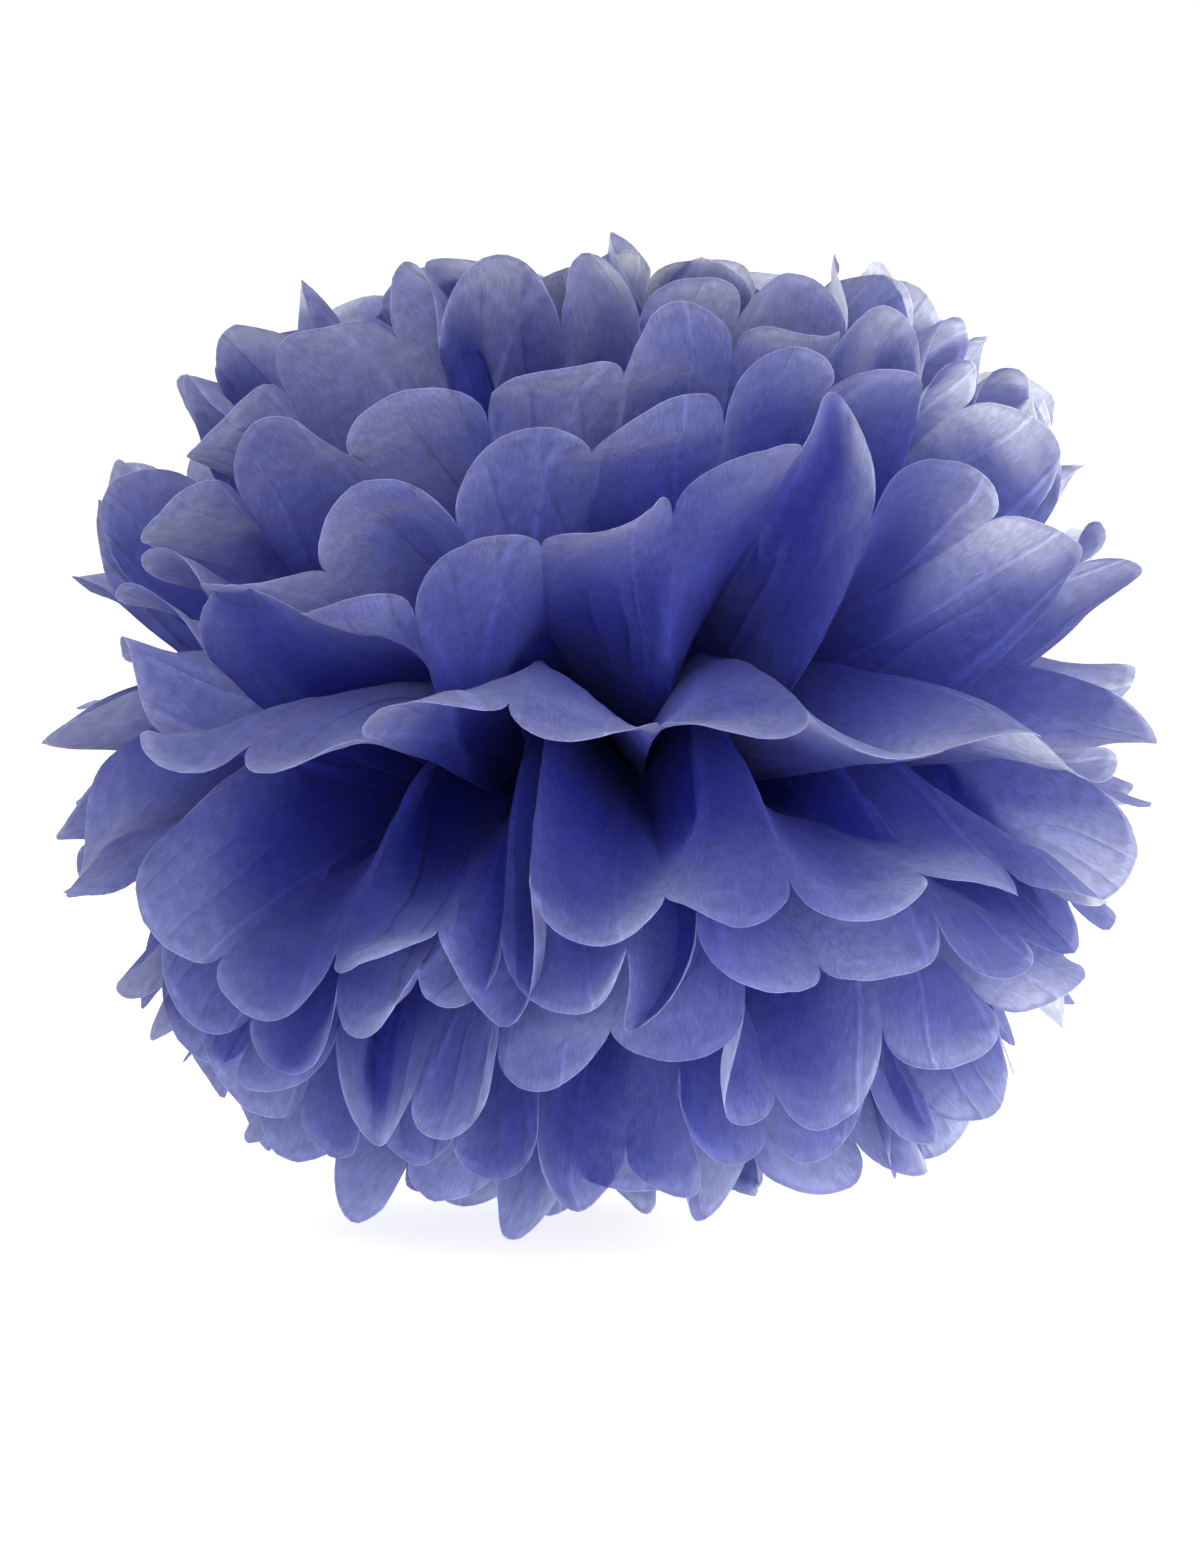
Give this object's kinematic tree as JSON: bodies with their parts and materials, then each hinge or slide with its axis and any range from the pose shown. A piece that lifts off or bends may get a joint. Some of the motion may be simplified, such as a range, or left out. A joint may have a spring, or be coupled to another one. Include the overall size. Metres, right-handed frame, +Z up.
{
  "type": "tissue paper pom pom",
  "caption": "Ball of pleated tissue paper sheets tied at the waist, each opened into a ring of round-ended petals.",
  "frame": {"origin": "on the ground plane under the tie, at the middle of the ring of lowest petal tips", "axes": "+Z up through the tie and the two poles, Y along the pleated strip, X across it towards the twisted end of the wire"},
  "size_m": [0.3412, 0.3462, 0.301],
  "materials": {
    "tissue": "thin translucent tissue, violet blue, matt, with a soft fibre mottle and fold creases",
    "wire": "plain drawn wire, satin"
  },
  "bodies": {
    "root": {"upper_sheet_1": "tissue", "upper_sheet_2": "tissue", "upper_sheet_3": "tissue", "upper_sheet_4": "tissue", "upper_sheet_5": "tissue", "upper_sheet_6": "tissue", "lower_sheet_1": "tissue", "lower_sheet_2": "tissue", "lower_sheet_3": "tissue", "lower_sheet_4": "tissue", "lower_sheet_5": "tissue", "lower_sheet_6": "tissue", "tie_wire": "wire"}
  },
  "joints": []
}
